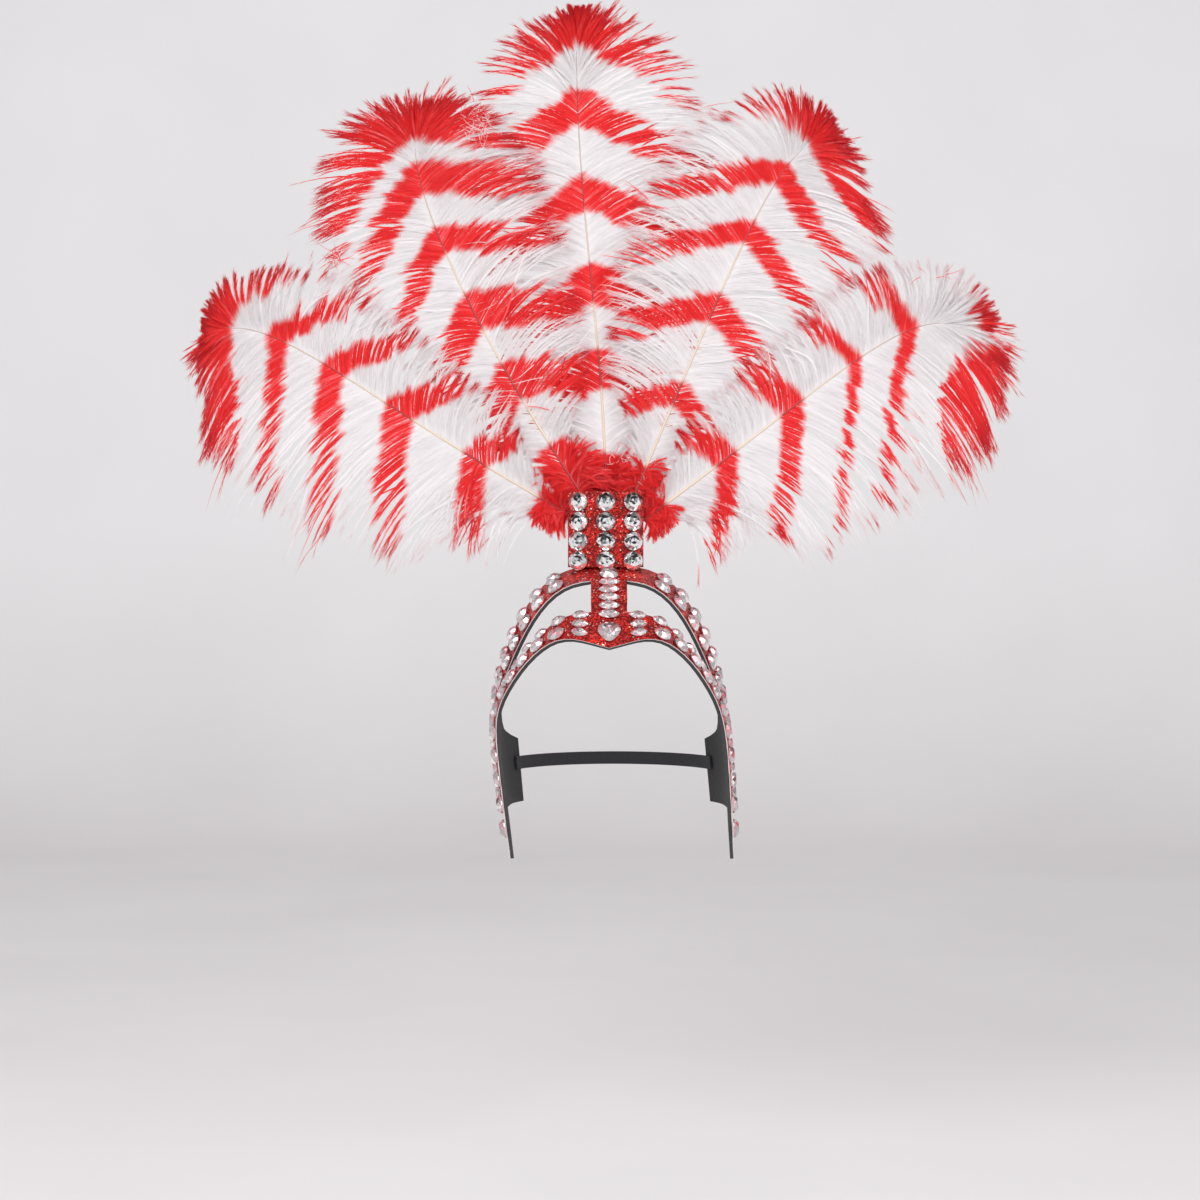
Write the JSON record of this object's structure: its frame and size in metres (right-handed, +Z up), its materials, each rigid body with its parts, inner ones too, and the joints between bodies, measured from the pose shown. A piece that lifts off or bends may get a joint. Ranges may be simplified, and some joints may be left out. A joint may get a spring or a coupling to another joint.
{
  "type": "carnival feather headdress",
  "caption": "Foam crown covered in red glitter and cut stones, open over the top, with a fan of red and white striped ostrich plumes above the brow.",
  "frame": {"origin": "middle of the head opening, level with the brow edge", "axes": "+Z up, -Y the way the wearer faces, +X to the wearer's left, the right side seen from the front"},
  "size_m": [0.617, 0.1957, 0.6318],
  "materials": {
    "black_foam": "matt black EVA foam",
    "red_glitter": "red glitter cloth",
    "foiled_crystal": "silver-foiled cut crystal",
    "clear_crystal": "clear cut crystal over red",
    "plume": "ostrich plume striped red and white",
    "sleeve": "red cloth sleeve",
    "elastic": "black woven elastic"
  },
  "bodies": {
    "root": {"arch_front_stones_left": "clear_crystal", "arch_front_stones_right": "clear_crystal", "arch_rear_stones_left": "clear_crystal", "arch_rear_stones_right": "clear_crystal", "arch_round": "clear_crystal", "back_strap": "elastic", "brow_high_stones_left": "clear_crystal", "brow_high_stones_right": "clear_crystal", "brow_low_stones_left": "clear_crystal", "brow_low_stones_right": "clear_crystal", "brow_mid_stones_left": "clear_crystal", "brow_mid_stones_right": "clear_crystal", "brow_pear": "clear_crystal", "crown_cover": "red_glitter", "crown_frame": "black_foam", "plate_cover": "red_glitter", "plate_foam": "black_foam", "plate_round_11": "foiled_crystal", "plate_round_12": "foiled_crystal", "plate_round_13": "foiled_crystal", "plate_round_14": "foiled_crystal", "plate_round_21": "foiled_crystal", "plate_round_22": "foiled_crystal", "plate_round_23": "foiled_crystal", "plate_round_24": "foiled_crystal", "plate_round_31": "foiled_crystal", "plate_round_32": "foiled_crystal", "plate_round_33": "foiled_crystal", "plate_round_34": "foiled_crystal", "plume_centre": "plume", "plume_lower_left": "plume", "plume_lower_right": "plume", "plume_upper_left": "plume", "plume_upper_right": "plume", "quill_sleeve": "sleeve", "strip_navette_1": "clear_crystal", "strip_navette_2": "clear_crystal", "strip_navette_3": "clear_crystal", "strip_navette_4": "clear_crystal", "strip_navette_5": "clear_crystal"}
  },
  "joints": []
}
